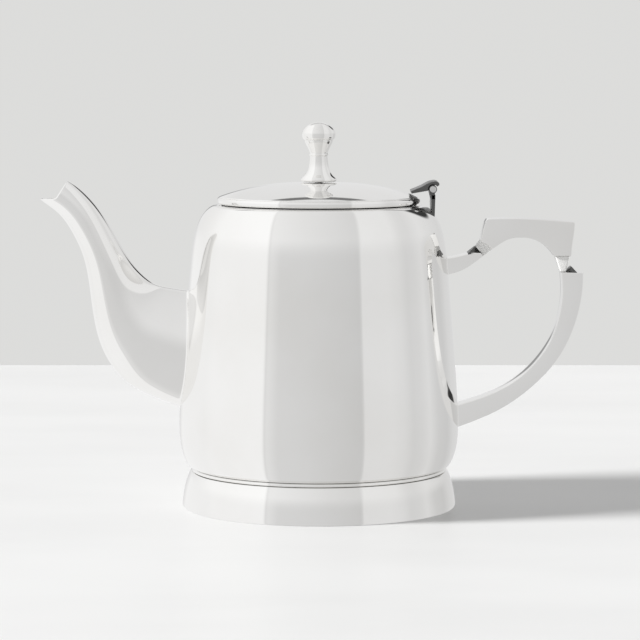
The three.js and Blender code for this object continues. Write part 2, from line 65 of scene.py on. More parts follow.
BODY_WALL = 1.1
SPOUT_WALL = 1.2
DOME_EDGE_R = 44.3
DOME_TOP_Z = 143.4
DOME_RISE = 6.5
DOME_FULLNESS = 2.6
DOME_THICKNESS = 1.0
STUD_HOLE_R = 1.9  # in the dome and the finial
HANDLE_WIDTH = 12.0
INSULATOR_WIDTH = 10.0
KNUCKLE_R = 1.8
KNUCKLE_LENGTH = 3.4
KNUCKLE_GAP = 0.3
KNUCKLES = 5
HINGE_WIDTH = KNUCKLES * KNUCKLE_LENGTH + (KNUCKLES - 1) * KNUCKLE_GAP
HINGE_PIN_R = 0.85
PIN_HEAD_R = 1.5
PIN_HEAD_LENGTH = 0.6

SEGMENTS = 256  # round the pot
SMALL_SEGMENTS = 96  # round the finial and smaller turned pieces


# ---------------------------------------------------------------- lines

def spline(points, knots=None, steps=8, at=None):
    """A natural cubic spline through points, so that reflections in the surface run smoothly."""
    points = np.asarray(points, float)
    count = len(points)
    if knots is None:
        chords = np.linalg.norm(np.diff(points, axis=0), axis=1)
        knots = np.r_[0, np.cumsum(chords**0.75)]
    gaps = np.diff(knots)
    matrix = np.eye(count)
    right = np.zeros_like(points)
    for i in range(1, count - 1):
        matrix[i, i - 1 : i + 2] = gaps[i - 1], 2 * (gaps[i - 1] + gaps[i]), gaps[i]
        after = (points[i + 1] - points[i]) / gaps[i]
        before = (points[i] - points[i - 1]) / gaps[i - 1]
        right[i] = 6 * (after - before)
    bend = np.linalg.solve(matrix, right)
    if at is None:
        at = np.concatenate([np.linspace(a, b, steps, endpoint=False) for a, b in zip(knots, knots[1:])])
        at = np.r_[at, knots[-1]]
    span = np.clip(np.searchsorted(knots, at, side="right") - 1, 0, count - 2)
    h = gaps[span][:, None]
    a = ((knots[span + 1] - at) / gaps[span])[:, None]
    b = 1 - a
    curved = ((a**3 - a) * bend[span] + (b**3 - b) * bend[span + 1]) * h * h / 6
    return a * points[span] + b * points[span + 1] + curved


def soften(line, corners):
    """Rounds some corners of a line. corners maps an index to where its rounding starts."""
    line = np.asarray(line, float)
    along = np.r_[0, np.cumsum(np.linalg.norm(np.diff(line, axis=0), axis=1))]
    marks = np.array([0, *(along[i] for i in sorted(corners)), along[-1]])
    made = [line[0]]
    done = 0.0
    for place, index in enumerate(sorted(corners), 1):
        room = min(marks[place] - marks[place - 1], marks[place + 1] - marks[place])
        reach = min(corners[index], 0.48 * room)
        here = along[index]
        made.extend(line[(along > done) & (along < here - reach)])
        start, end = (
            np.array([np.interp(here + side * reach, along, line[:, k]) for k in (0, 1)])
            for side in (-1, 1)
        )
        for t in np.linspace(0, 1, 7):
            made.append((1 - t) ** 2 * start + 2 * t * (1 - t) * line[index] + t * t * end)
        done = here + reach
    made.extend(line[along > done])
    return np.array(made)


def outline(steps, rounding=0.15):
    """A line drawn step by step. A step is a corner (a, b), a corner with its own rounding
    (a, b, reach), or a list of points that a smooth run goes through."""
    line = [np.array(steps[0][:2], float)]
    corners = {}
    for step in steps[1:]:
        if isinstance(step, list):
            line.extend(spline([line[-1], *step])[1:])
        else:
            line.append(np.array(step[:2], float))
        reach = step[2] if isinstance(step, tuple) and len(step) == 3 else rounding
        corners[len(line) - 1] = reach
    del corners[len(line) - 1]
    return soften(line, corners)


def inward(line, distance):
    """The line moved to its left, which is inwards on a wall drawn upwards."""
    line = np.asarray(line, float)
    ahead = np.gradient(line, axis=0)
    ahead /= np.linalg.norm(ahead, axis=1)[:, None]
    return line + distance * np.stack([-ahead[:, 1], ahead[:, 0]], axis=1)


# ---------------------------------------------------------------- meshes

def make(name, points, faces):
    """A smooth-shaded object from points in millimetres, with its faces turned outwards."""
    points = (np.asarray(points, float) + [AXIS_X, 0, 0]) * MM
    mesh = bpy.data.meshes.new(name)
    mesh.from_pydata(points.tolist(), [], faces)
    work = bmesh.new()
    work.from_mesh(mesh)
    bmesh.ops.recalc_face_normals(work, faces=work.faces)
    work.to_mesh(mesh)
    work.free()
    mesh.shade_smooth()
    piece = bpy.data.objects.new(name, mesh)
    bpy.context.scene.collection.objects.link(piece)
    weighted = piece.modifiers.new("even_normals", "WEIGHTED_NORMAL")
    weighted.weight = 50
    return piece


def strip(first, second, closed=True):
    """The faces between two rows of points. A row of one point is a pole."""
    count = max(len(first), len(second))
    faces = []
    for i in range(count if closed else count - 1):
        j = (i + 1) % count
        if len(first) == 1:
            faces.append((first[0], second[j], second[i]))
        elif len(second) == 1:
            faces.append((first[i], first[j], second[0]))
        else:
            faces.append((first[i], first[j], second[j], second[i]))
    return faces


def lathe(line, segments=SEGMENTS):
    """Points and faces of a line of (radius, height) turned about the pot's axis. A line that
    doesn't start and end on the axis is closed on itself."""
    turn = np.linspace(0, 2 * math.pi, segments, endpoint=False)
    points = []
    rows = []
    for radius, height in line:
        if radius < 1e-6:
            ring = [(0, 0, height)]
        else:
            ring = [(radius * c, radius * s, height) for c, s in zip(np.cos(turn), np.sin(turn))]
        rows.append(range(len(points), len(points) + len(ring)))
        points.extend(ring)
    faces = []
    for first, second in zip(rows, rows[1:]):
        faces += strip(first, second)
    if len(rows[0]) > 1:
        faces += strip(rows[-1], rows[0])
    return points, faces


def turned(name, line, segments=SEGMENTS):
    return make(name, *lathe(line, segments))


def at_pin(part, middle=0.0):
    """A turned part laid along Y on the hinge's axis."""
    points, faces = part
    return [(PIN_X + x, middle + z, PIN_Z + y) for x, y, z in points], faces


def skin(rings, close_start=True, close_end=True, loop=False):
    """Points and faces of a skin over rings that all have the same number of points."""
    rings = np.asarray(rings, float)
    count = rings.shape[1]
    rows = [range(i * count, (i + 1) * count) for i in range(len(rings))]
    faces = []
    for first, second in zip(rows, rows[1:]):
        faces += strip(first, second)
    if loop:
        faces += strip(rows[-1], rows[0])
    else:
        if close_start:
            faces.append(tuple(reversed(rows[0])))
        if close_end:
            faces.append(tuple(rows[-1]))
    return rings.reshape(-1, 3), faces


def merged(*parts):
    """Several (points, faces) pairs as one."""
    points = []
    faces = []
    for some_points, some_faces in parts:
        start = len(points)
        points.extend(some_points)
        faces.extend(tuple(start + i for i in face) for face in some_faces)
    return points, faces


def plate(line, width, edge=0.25, middle=0.0):
    """A flat piece whose outline is in the XZ plane, with its long edges rounded."""
    line = np.asarray(line, float)
    before = line - np.roll(line, 1, axis=0)
    after = np.roll(line, -1, axis=0) - line
    area = np.sum(line[:, 0] * np.roll(line[:, 1], -1) - np.roll(line[:, 0], -1) * line[:, 1])
    square = []
    for side in (before, after):
        side = side / np.maximum(np.linalg.norm(side, axis=1), 1e-9)[:, None]
        square.append(np.stack([-side[:, 1], side[:, 0]], axis=1) * np.sign(area))
    inwards = square[0] + square[1]
    inwards /= np.maximum(np.sum(inwards * square[0], axis=1), 0.35)[:, None]
    rings = []
    for angle in np.radians([90, 60, 30, 0]):
        level = line + inwards * edge * (1 - math.cos(angle))
        rings.append((level, width / 2 - edge * (1 - math.sin(angle))))
    levels = [(level, -y) for level, y in rings] + [(level, y) for level, y in reversed(rings)]
    solid = [[(x, middle + y, z) for x, z in level] for level, y in levels]
    return skin(solid)


# ---------------------------------------------------------------- body

BODY_LINE = np.vstack([
    [0, 17.6],
    spline([
        (55.8, 17.6), (57.3, 18.3), (58.6, 20.0), (59.6, 22.1), (60.6, 25.3), (61.4, 30), (61.7, 36),
        (61.6, 42), (61.15, 50), (60.1, 64.9), (58.7, 82.5), (57.3, 100.1), (56.6, 108),
        (55.9, 114.5), (54.6, 121.2), (52.5, 126.8), (49.6, 131), (46.9, 133.0), (45.3, 133.35),
    ], steps=14),
])


def body_radius(height):
    """The radius of the body's outer face at a height."""
    return np.interp(height, BODY_LINE[1:, 1], BODY_LINE[1:, 0])


def outside_body(points):
    """How far points are outside the body's outer face, measured level."""
    return np.hypot(points[..., 0], points[..., 1]) - body_radius(points[..., 2])


def body_shell(opening):
    """The body's two walls, with a hole through both where the spout opens into it. opening is
    the closed line of points where the spout's bore meets the wall."""
    inner = inward(BODY_LINE, BODY_WALL)
    inner[0, 0] = 0
    turn = np.linspace(-math.pi, math.pi, SEGMENTS, endpoint=False)
    turn += math.pi  # the seam is on the handle's side, away from the spout
    hole_angle = np.unwrap(np.arctan2(opening[:, 1], -opening[:, 0]))
    hole_across = hole_angle * body_radius(opening[:, 2])
    centre = np.array([0.0, np.mean(opening[:, 2])])
    hole_way = np.arctan2(opening[:, 2] - centre[1], hole_across - centre[0])
    hole_reach = np.hypot(hole_across - centre[0], opening[:, 2] - centre[1])
    order = np.argsort(hole_way)

    rows = len(BODY_LINE)
    angle = np.tile(turn, (rows, 1))
    angle = (angle + math.pi) % (2 * math.pi) - math.pi
    from_spout = np.where(angle > 0, math.pi - angle, -math.pi - angle)
    height = np.tile(BODY_LINE[:, 1:2], (1, SEGMENTS))
    radius = np.tile(BODY_LINE[:, 0:1], (1, SEGMENTS))
    across = from_spout * radius
    way = np.arctan2(height - centre[1], across - centre[0])
    reach = np.hypot(across - centre[0], height - centre[1])
    edge = np.interp(way, hole_way[order], hole_reach[order], period=2 * math.pi)
    inside = reach < edge
    kept = np.ones((rows, SEGMENTS), bool)
    kept[:-1] = ~(
        inside[:-1] & inside[1:] & np.roll(inside, -1, 1)[:-1] & np.roll(inside, -1, 1)[1:]
    )
    used = kept | np.roll(kept, 1, 1)
    used[1:] |= kept[:-1] | np.roll(kept, 1, 1)[:-1]
    on_edge = inside & used
    grow = np.where(on_edge, edge / np.maximum(reach, 1e-6), 1)
    new_height = np.where(on_edge, centre[1] + (height - centre[1]) * grow, height)
    new_across = np.where(on_edge, centre[0] + (across - centre[0]) * grow, across)
    new_radius = np.where(on_edge, body_radius(new_height), radius)
    side = np.where(from_spout >= 0, 1, -1)
    new_angle = np.where(on_edge, side * math.pi - new_across / np.maximum(new_radius, 1), angle)

    points = []
    index = {}
    for wall, line in enumerate((BODY_LINE, inner)):
        depth = np.where(on_edge, BODY_WALL, 0) if wall else np.zeros_like(height)
        wall_radius = np.where(on_edge, new_radius - depth, line[:, 0:1])
        wall_height = np.where(on_edge, new_height, line[:, 1:2])
        for i in range(rows):
            for j in range(SEGMENTS if i else 1):
                index[wall, i, j] = len(points)
                r = wall_radius[i, j]
                a = new_angle[i, j]
                points.append((r * math.cos(a), r * math.sin(a), wall_height[i, j]))
    faces = []
    edges = {}
    for i in range(rows - 1):
        for j in range(SEGMENTS):
            k = (j + 1) % SEGMENTS
            if not kept[i, j]:
                continue
            corners = [(i, j if i else 0), (i, k if i else 0), (i + 1, k), (i + 1, j)]
            if i == 0:
                corners.pop(1)
            faces.append(tuple(index[0, a, b] for a, b in corners))
            faces.append(tuple(index[1, a, b] for a, b in reversed(corners)))
            for pair in zip(corners, corners[1:] + corners[:1]):
                edges[pair] = True
    for first, second in edges:  # an edge with no face on its other side is on the hole or at the mouth
        if (second, first) not in edges:
            faces.append((index[0, *first], index[0, *second], index[1, *second], index[1, *first]))
    return make("fine_body_shell", points, faces)


def foot_ring():
    line = outline([
        (52.2, 14.4), (52.2, 15.85), (56.8, 15.85, 0.3),
        [(57.4, 14.8), (58.1, 13.2), (58.9, 10.8), (59.6, 7.8), (60.1, 4.7), (60.4, 2.2), (60.45, 1.1)],
        [(60.3, 0.4), (59.8, 0.0)],
        (58.2, 0, 0.3),
        (58.1, 2.0, 0.5),
        [(58.9, 3.2), (58.6, 6.4), (57.9, 9.6), (56.9, 12.2), (55.7, 14.4)],
        (52.2, 14.4),
    ], rounding=0.2)
    return turned("fine_foot_ring", line[:-1])


def foot_bead():
    """The wire soldered into the groove between the foot and the body."""
    middle_r = 55.4
    middle_z = 16.72
    half_width = 1.05
    half_height = 0.86
    turn = np.linspace(0, 2 * math.pi, 24, endpoint=False)
    line = [(middle_r + half_width * math.cos(a), middle_z + half_height * math.sin(a)) for a in turn]
    return turned("fine_foot_bead", line)


def mouth_collar():
    line = outline([
        (43.0, 130.5), (43.0, 129.5), (45.2, 129.5), (45.25, 132.9),
        (45.15, 133.5, 0.35), (43.0, 133.5, 0.3), (43.0, 130.5),
    ])
    return turned("fine_mouth_collar", line[:-1])


# ---------------------------------------------------------------- spout and handle arms

SPOUT_TOP = [
    (-50, 95.2), (-58, 95.7), (-66, 96.9), (-72.5, 98.6), (-78.2, 102.9), (-83.1, 108.7),
    (-87.9, 116.4), (-92.5, 124.6), (-98.2, 133.2), (-105.1, 140.4), (-111.2, 144.8), (-118.6, 149.4),
]
SPOUT_BOTTOM = [
    (-50, 41.5), (-61.5, 44.2), (-78.7, 51), (-90.3, 60.5), (-98.0, 76.5), (-101.4, 98),
    (-103.9, 110.5), (-107.2, 118.5), (-111.6, 126), (-116.1, 130.9), (-120.8, 134.4), (-128.1, 140.1),
]
SPOUT_ROOT_WIDTH = 34.0
SPOUT_MOUTH_WIDTH = 14.0
SPOUT_PEAR = 0.22
SPOUT_SIDES = 80
MOUTH_PEAK = (-110.4, 144.3)
MOUTH_CORNER = (-115.2, 136.6)
MOUTH_TIP = (-122.9, 136.3)
BAR_STEPS = 500  # how finely a bar is worked out before it is trimmed


def spout_bar(inset):
    """The spout before it is trimmed, as an array of rings."""
    knots = np.arange(len(SPOUT_TOP), dtype=float)
    at = np.linspace(0, knots[-1], BAR_STEPS)
    top = spline(SPOUT_TOP, knots, at=at)
    bottom = spline(SPOUT_BOTTOM, knots, at=at)
    middle = (top + bottom) / 2
    upward = (top - bottom) / np.linalg.norm(top - bottom, axis=1)[:, None]
    half_height = np.linalg.norm(top - bottom, axis=1) / 2 - inset
    slimming = (1 - at / knots[-1]) ** 1.6
    half_width = (SPOUT_MOUTH_WIDTH + (SPOUT_ROOT_WIDTH - SPOUT_MOUTH_WIDTH) * slimming) / 2 - inset
    turn = np.linspace(0, 2 * math.pi, SPOUT_SIDES, endpoint=False)
    up = np.cos(turn)[None, :] * half_height[:, None]
    out = np.sin(turn)[None, :] * half_width[:, None]
    out *= 1 - SPOUT_PEAR * slimming[:, None] * np.cos(turn)[None, :]
    x = middle[:, 0:1] + upward[:, 0:1] * up
    z = middle[:, 1:2] + upward[:, 1:2] * up
    return np.stack([x, out, z], axis=2)


def past_mouth(points, slack=0.0):
    """How far points are past the mouth's cut, which runs down from its peak and out along the
    lip. The corner between the two is softened."""
    depths = []
    for start, end in ((MOUTH_PEAK, MOUTH_CORNER), (MOUTH_CORNER, MOUTH_TIP)):
        way = np.subtract(end, start) / math.dist(start, end)
        offset = points[..., [0, 2]] - np.array(start)
        depths.append(way[0] * offset[..., 1] - way[1] * offset[..., 0])
    rim, lip = -depths[0], -depths[1]
    soft = 1.2
    blend = np.clip(0.5 + 0.5 * (rim - lip) / soft, 0, 1)
    return rim + (lip - rim) * blend - soft * blend * (1 - blend) + slack


def crossing(bar, measure):
    """For each lengthwise line of a bar, the place where a measure of it first rises past 0, as a
    number of rings from the start."""
    values = measure(bar)
    over = values > 0
    after = np.argmax(over, axis=0)
    after = np.maximum(after, 1)
    line = np.arange(bar.shape[1])
    low, high = values[after - 1, line], values[after, line]
    return after - 1 + np.clip(low / (low - high), 0, 1)


def places(bar, at):
    """The points of a bar's lengthwise lines at places given in rings from the start."""
    below = np.clip(np.floor(at).astype(int), 0, len(bar) - 2)
    line = np.arange(bar.shape[1])
    part = (at - below)[..., None]
    return bar[below, line] * (1 - part) + bar[below + 1, line] * part


def trimmed(bar, start, end, rings):
    return [places(bar, start + (end - start) * t) for t in np.linspace(0, 1, rings)]


def solder_flare(bar, start, reach):
    """Rings that sweep from the body's face into the bar, like the fillet of a soldered joint."""
    root = places(bar, start)
    step = np.linalg.norm(places(bar, start + 1) - root, axis=1)
    on_bar = places(bar, start + reach / step)
    normal = root * [1, 1, 0]
    normal /= np.linalg.norm(normal, axis=1)[:, None]
    aside = root - root.mean(axis=0)
    aside -= np.sum(aside * normal, axis=1)[:, None] * normal
    aside /= np.linalg.norm(aside, axis=1)[:, None]
    on_body = root + aside * reach
    level = np.hypot(on_body[:, 0], on_body[:, 1])
    on_body[:, :2] *= ((body_radius(on_body[:, 2]) - 0.03) / level)[:, None]
    rings = [
        (1 - t) ** 2 * on_body + 2 * t * (1 - t) * root + t * t * on_bar
        for t in np.linspace(0, 1, 7)
    ]
    return rings, start + reach / step


def spout():
    """The spout's outer face and its bore, joined by a rounded rim, and the line where the bore
    meets the body."""
    outer = spout_bar(0)
    bore = spout_bar(SPOUT_WALL)
    rim_r = SPOUT_WALL / 2
    outer_start = crossing(outer, outside_body)
    bore_start = crossing(bore, outside_body)
    bore_inside = crossing(bore, lambda points: outside_body(points) + BODY_WALL)
    outer_end = crossing(outer, lambda points: past_mouth(points, rim_r))
    bore_end = crossing(bore, lambda points: past_mouth(points, rim_r))
    flare, outer_from = solder_flare(outer, outer_start, 0.9)
    outside = trimmed(outer, outer_from, outer_end, 150)
    inside = trimmed(bore, bore_end, bore_inside, 110)
    onward = places(outer, outer_end) - places(outer, outer_end - 1.5)
    onward /= np.linalg.norm(onward, axis=1)[:, None]
    middle = (outside[-1] + inside[0]) / 2
    across = outside[-1] - middle
    rim = [
        middle + across * math.cos(a) + onward * rim_r * math.sin(a)
        for a in np.radians([22.5, 45, 67.5, 90, 112.5, 135, 157.5])
    ]
    rings = flare + outside[1:] + rim + inside
    points, faces = skin(rings, loop=True)
    piece = make("fine_spout", points, faces)
    stained_from = (len(rings) - len(inside)) * SPOUT_SIDES
    for face in piece.data.polygons:
        face.material_index = int(face.index >= stained_from)
    return piece, places(bore, bore_start)


def section(half_width, height, crown, reach=0.4, side_points=9):
    """A closed ring of (across, up) points: four sides that swell by crown, with softened
    corners."""
    corners = np.array(
        [(-half_width, 0), (half_width, 0), (half_width, height), (-half_width, height)], float
    )
    reach = min(reach, 0.3 * height)
    ring = []
    for i in range(4):
        corner, following, later = corners[i], corners[(i + 1) % 4], corners[(i + 2) % 4]
        way = (following - corner) / np.linalg.norm(following - corner)
        onward = (later - following) / np.linalg.norm(later - following)
        start = corner + way * reach
        end = following - way * reach
        outward = np.array([way[1], -way[0]])
        for s in np.linspace(0, 1, side_points):
            ring.append(start + (end - start) * s + outward * crown * 4 * s * (1 - s))
        for t in (0.25, 0.5, 0.75):
            bend = (1 - t) ** 2 * end + 2 * t * (1 - t) * following
            ring.append(bend + t * t * (following + onward * reach))
    return np.array(ring)


def box_bar(top, bottom, width=HANDLE_WIDTH, crown=0.2):
    """A bar with a four-sided section between a top line and a bottom line of as many points."""
    bar = []
    for high, low in zip(top, bottom):
        height = np.linalg.norm(high - low)
        upward = (high - low) / height
        ring = section(width / 2, height, crown * min(1, height / width))
        bar.append([(low[0] + upward[0] * v, u, low[1] + upward[1] * v) for u, v in ring])
    return np.array(bar)


def paired(top, bottom, rings):
    """Two lists of points, pair by pair, as two smooth lines."""
    knots = np.arange(len(top), dtype=float)
    at = np.linspace(0, knots[-1], rings)
    return spline(top, knots, at=at), spline(bottom, knots, at=at)


def along(line, shares):
    """Points at shares of a line's length."""
    line = np.asarray(line, float)
    lengths = np.r_[0, np.cumsum(np.linalg.norm(np.diff(line, axis=0), axis=1))]
    at = np.asarray(shares) * lengths[-1]
    return np.stack([np.interp(at, lengths, line[:, k]) for k in (0, 1)], axis=1)


def rounded_end(ring, onward, reach=0.3):
    """Rings that round the edge of a bar's flat end."""
    onward = np.asarray(onward, float) / np.linalg.norm(onward)
    towards = ring.mean(axis=0) - ring
    towards /= np.linalg.norm(towards, axis=1)[:, None]
    return [
        ring - onward * reach * (1 - math.sin(a)) + towards * reach * (1 - math.cos(a))
        for a in np.radians([0, 22.5, 45, 67.5, 90])
    ]


def ended(bar, start_way=None, end_way=None):
    """A bar's rings with its flat ends rounded, each facing the given way."""
    rings = list(bar)
    if start_way is not None:
        rings = rounded_end(rings[0], start_way)[::-1] + rings[1:]
    if end_way is not None:
        rings = rings[:-1] + rounded_end(rings[-1], end_way)
    return rings


def spur(base, peak, half_width, peak_half_width):
    """The pointed end of an arm: a small block with a hipped top. base is its two ends in the XZ
    plane, and peak the ends of its ridge."""
    lower = [(base[0], -1), (base[1], -1), (base[1], 1), (base[0], 1)]
    upper = [(peak[0], -1), (peak[1], -1), (peak[1], 1), (peak[0], 1)]
    foot = [(x, side * half_width, z - 0.6) for (x, z), side in lower]
    eaves = [(x, side * half_width, z) for (x, z), side in lower]
    ridge = [(x, side * peak_half_width, z) for (x, z), side in upper]
    return skin([foot, eaves, ridge])


def soldered_arm(name, bar, rings, end_way, tip):
    """An arm that leaves the body through a small fillet and ends in a spur, whose faces are painted dark
    as shade.
    """
    flare, arm_from = solder_flare(bar, crossing(bar, outside_body), 0.55)
    last = np.full(bar.shape[1], len(bar) - 1.0)
    body = trimmed(bar, arm_from, last, rings)
    arm = skin(flare + ended(body[1:], end_way=end_way), close_start=False)
    piece = make(name, *merged(arm, tip))
    # the spur's faces take the second material, dark metal that paints shade into the spur's slopes
    for face in piece.data.polygons:
        face.material_index = int(face.index >= len(arm[1]))
    return piece


def upper_arm():
    top = [(50, 109.4), (56.8, 110.3), (61.5, 111.2), (66, 112.3), (68.8, 112.6), (71.2, 112.5)]
    bottom = [(50, 101.9), (56.8, 103), (63.4, 105.1), (68.0, 108.0), (70.4, 109.8), (72.3, 111.3)]
    tip = spur([(65.5, 112.3), (71.5, 112.2)], [(68.6, 115.1), (68.9, 115.1)], HANDLE_WIDTH / 2, 2.4)
    return soldered_arm("fine_handle_upper_arm", box_bar(*paired(top, bottom, 200)), 70, (1, 0, 1), tip)


def lower_arm():
    outer = [
        (52, 32.4), (61, 35.4), (75.3, 41.1), (86.6, 47.6), (96.8, 56.0), (105.4, 66), (111.2, 77.0),
        (114.6, 88.0), (116.0, 97), (116.2, 103.8),
    ]
    inner = [
        (52, 42.2), (61.2, 45.2), (72.0, 48.7), (81.6, 53.0), (90.6, 59.3), (98.6, 68.2), (103.6, 77.4),
        (106.4, 87.9), (107.1, 96.4), (106.6, 104.0),
    ]
    tip = spur([(109.1, 104.1), (113.4, 104.0)], [(111.0, 106.3), (111.3, 106.3)], HANDLE_WIDTH / 2, 3.6)
    bar = box_bar(*paired(inner, outer, 400))
    return soldered_arm("fine_handle_lower_arm", bar, 150, (0, 0, 1), tip)


def handle_grip():
    over = outline([
        (71.1, 117.6),
        [(72.2, 122.6), (73.1, 126.0)],
        (73.9, 127.5, 0.5),
        [(84, 127.75), (99.5, 127.1), (111.6, 126.1)],
        (112.4, 125.9, 0.35),
        [(112.0, 121.0), (111.3, 116.0), (110.9, 111.1)],
    ], rounding=0.3)
    under = spline([
        (76.4, 114.2), (79.6, 116.5), (83.4, 118.5), (88.5, 119.3), (93.2, 118.8), (97.6, 116.9),
        (101.0, 114.2), (103.4, 111.1),
    ], steps=20)
    shares = np.linspace(0, 1, 180)
    top_share = np.interp(shares, [0, 0.14, 0.76, 1], [0, 0.16, 0.765, 1])
    bar = box_bar(along(over, top_share), along(under, shares))
    return make("fine_handle_grip", *skin(ended(bar, start_way=(-1, 0, -1.5), end_way=(0, 0, -1))))


def insulator(name, top, bottom):
    """The neck between an arm and the grip. top and bottom are each two ends of a line."""
    share = np.linspace(0, 1, 12)[:, None]
    lines = [np.array(line[0]) * (1 - share) + np.array(line[1]) * share for line in (top, bottom)]
    return make(name, *skin(box_bar(*lines, width=INSULATOR_WIDTH, crown=0.1)))


def peg_pin(name):
    """A pin through the handle, with its ends filed flush and just rounded."""
    low, high = (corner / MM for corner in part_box(name))
    radius = (high.z - low.z) / 2
    half = (high.y - low.y) / 2
    line = outline([(0, -half), (radius, -half, 0.2), (radius, half, 0.2), (0, half)])
    points, faces = lathe(line, 32)
    middle = (low + high) / 2
    laid = [(middle.x - AXIS_X + x, z, middle.z + y) for x, y, z in points]
    return make("fine_" + name, laid, faces)


# ---------------------------------------------------------------- lid and finial

def dome_height(radius):
    return DOME_TOP_Z - DOME_RISE * (radius / DOME_EDGE_R) ** DOME_FULLNESS


def lid_shell():
    outer = np.linspace(DOME_EDGE_R - 0.25, STUD_HOLE_R, 60)
    inner = np.linspace(STUD_HOLE_R, 42.6, 50)
    line = [(r, dome_height(r)) for r in outer]
    line += [(r, dome_height(r) - DOME_THICKNESS) for r in inner]
    line += [(43.6, dome_height(DOME_EDGE_R) - 0.1)]
    return turned("fine_lid_shell", line)


def lid_rim():
    """The lid's rolled edge, a little proud of the dome that it is soldered to."""
    line = outline([
        (41.2, 135.0), (41.2, 133.8, 0.3), (43.5, 133.8),
        [(44.35, 134.1), (44.8, 135.0), (44.72, 136.0), (44.2, 136.65), (43.5, 136.85)],
        (43.1, 136.6), (41.2, 136.6, 0.3), (41.2, 135.0),
    ])
    return turned("fine_lid_rim", line[:-1])


def lid_bezel():
    line = outline([
        (41.0, 132), (41.0, 129.9, 0.2), (41.6, 129.9, 0.2), (42.2, 133.5, 0.2), (41.0, 133.5, 0.2),
        (41.0, 132),
    ])
    return turned("fine_lid_bezel", line[:-1])


def finial():
    hole = STUD_HOLE_R
    skirt = outline([
        (hole, 146), (hole, 143.7), (7.5, 143.7, 0.3),
        [(8.0, 144.4), (7.5, 145.4), (6.2, 146.6), (5.1, 148.2), (4.5, 150.0), (4.15, 152.0), (3.9, 154.4)],
        (3.9, 154.9, 0.2),
        [(4.2, 155.2), (4.25, 155.6), (3.9, 156.0)],
        (3.95, 156.3, 0.15),
        [(4.45, 157.5), (5.1, 158.9), (5.85, 160.3), (6.3, 161.5)],
        (6.3, 162.0, 0.12),
    ])
    top = 169.8
    knob = spline([
        (6.3, 162.0), (7.0, 162.5), (7.4, 163.5), (7.45, 164.5), (6.95, 166.2), (5.6, 167.8),
        (3.2, 169.2), (0, top), (-3.2, 169.2),
    ], steps=10)
    knob = [point for point in knob[1:] if point[0] > 0.05]
    line = [(0, 151.4), (hole, 150.9), *skirt[1:], *knob, (0, top)]
    return turned("fine_finial", line, SMALL_SEGMENTS)


def finial_stud():
    """The screw under the finial: a plain shank with a thread's crests at its lower end."""
    pitch = 0.7
    line = [(0, 136.4), (1.2, 136.4)]
    for turn in range(9):
        z = 136.6 + turn * pitch
        line += [(1.45, z), (1.6, z + pitch / 2)]
    line += [(1.6, 150.4), (1.4, 150.6), (0, 150.6)]
    return turned("fine_finial_stud", line, 48)


def finial_washer():
    line = outline([
        (1.9, 141.5), (1.9, 141.0, 0.1), (6.0, 141.0, 0.3), (6.0, 142.0, 0.15), (1.9, 142.0, 0.1),
        (1.9, 141.5),
    ])
    return turned("fine_finial_washer", line[:-1], SMALL_SEGMENTS)


def finial_nut():
    """A hexagon nut with chamfered corners."""
    turn = np.linspace(0, 2 * math.pi, 72, endpoint=False)
    corner_r = 3.9
    flat = corner_r * math.cos(math.pi / 6)
    hexagon = flat / np.cos((turn % (math.pi / 3)) - math.pi / 6)
    low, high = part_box("finial_nut")
    low, high = low.z / MM, high.z / MM
    levels = [
        (np.minimum(hexagon, flat + 0.05), low), (np.minimum(hexagon, corner_r), low + 0.35),
        (np.minimum(hexagon, corner_r), high - 0.35), (np.minimum(hexagon, flat + 0.05), high),
        (np.full(72, 2.2), high), (np.full(72, 1.9), high - 0.3),
        (np.full(72, 1.9), low + 0.3), (np.full(72, 2.2), low),
    ]
    rings = [[(r * math.cos(a), r * math.sin(a), z) for r, a in zip(radii, turn)] for radii, z in levels]
    piece = make("fine_finial_nut", *skin(rings, loop=True))
    piece.data.shade_flat()
    return piece


# ---------------------------------------------------------------- hinge

def knuckle(middle):
    half = KNUCKLE_LENGTH / 2
    line = outline([
        (0.95, 0), (0.95, -half, 0.1), (KNUCKLE_R, -half, 0.25), (KNUCKLE_R, half, 0.25), (0.95, half, 0.1),
        (0.95, 0),
    ])
    return at_pin(lathe(line[:-1], 48), middle)


def knuckle_middles(first):
    """The middles of every second knuckle along Y: the body's start at 0 and the lid's at 1."""
    step = KNUCKLE_LENGTH + KNUCKLE_GAP
    return [-HINGE_WIDTH / 2 + KNUCKLE_LENGTH / 2 + i * step for i in range(first, KNUCKLES, 2)]


def round_pin(radius, start_deg, end_deg, steps=20):
    """Points of an arc round the hinge's axis."""
    return [
        (PIN_X + radius * math.cos(a), PIN_Z + radius * math.sin(a))
        for a in np.radians(np.linspace(start_deg, end_deg, steps))
    ]


def body_hinge_leaf():
    """The upright plate on the shoulder, and its knuckles on tabs."""
    left = PIN_X - 0.7
    right = PIN_X + 1.1
    plate_top = PIN_Z - KNUCKLE_R - 0.6
    foot = outline([
        (left + 0.3, 128.0), (right - 0.3, 128.6), (right, plate_top, 0.2), (left, plate_top, 0.2),
        (left, 134), (left + 0.3, 128.0),
    ])
    parts = [plate(foot[:-1], HINGE_WIDTH)]
    for middle in knuckle_middles(0):
        tab = [
            (left, plate_top - 2), (right, plate_top - 2),
            (PIN_X + 0.8, PIN_Z - 1.2), (PIN_X - 0.8, PIN_Z - 1.2), (PIN_X - 1.6, PIN_Z - 0.6),
        ]
        parts += [plate(tab, KNUCKLE_LENGTH, edge=0.1, middle=middle), knuckle(middle)]
    return make("fine_body_hinge_leaf", *merged(*parts))


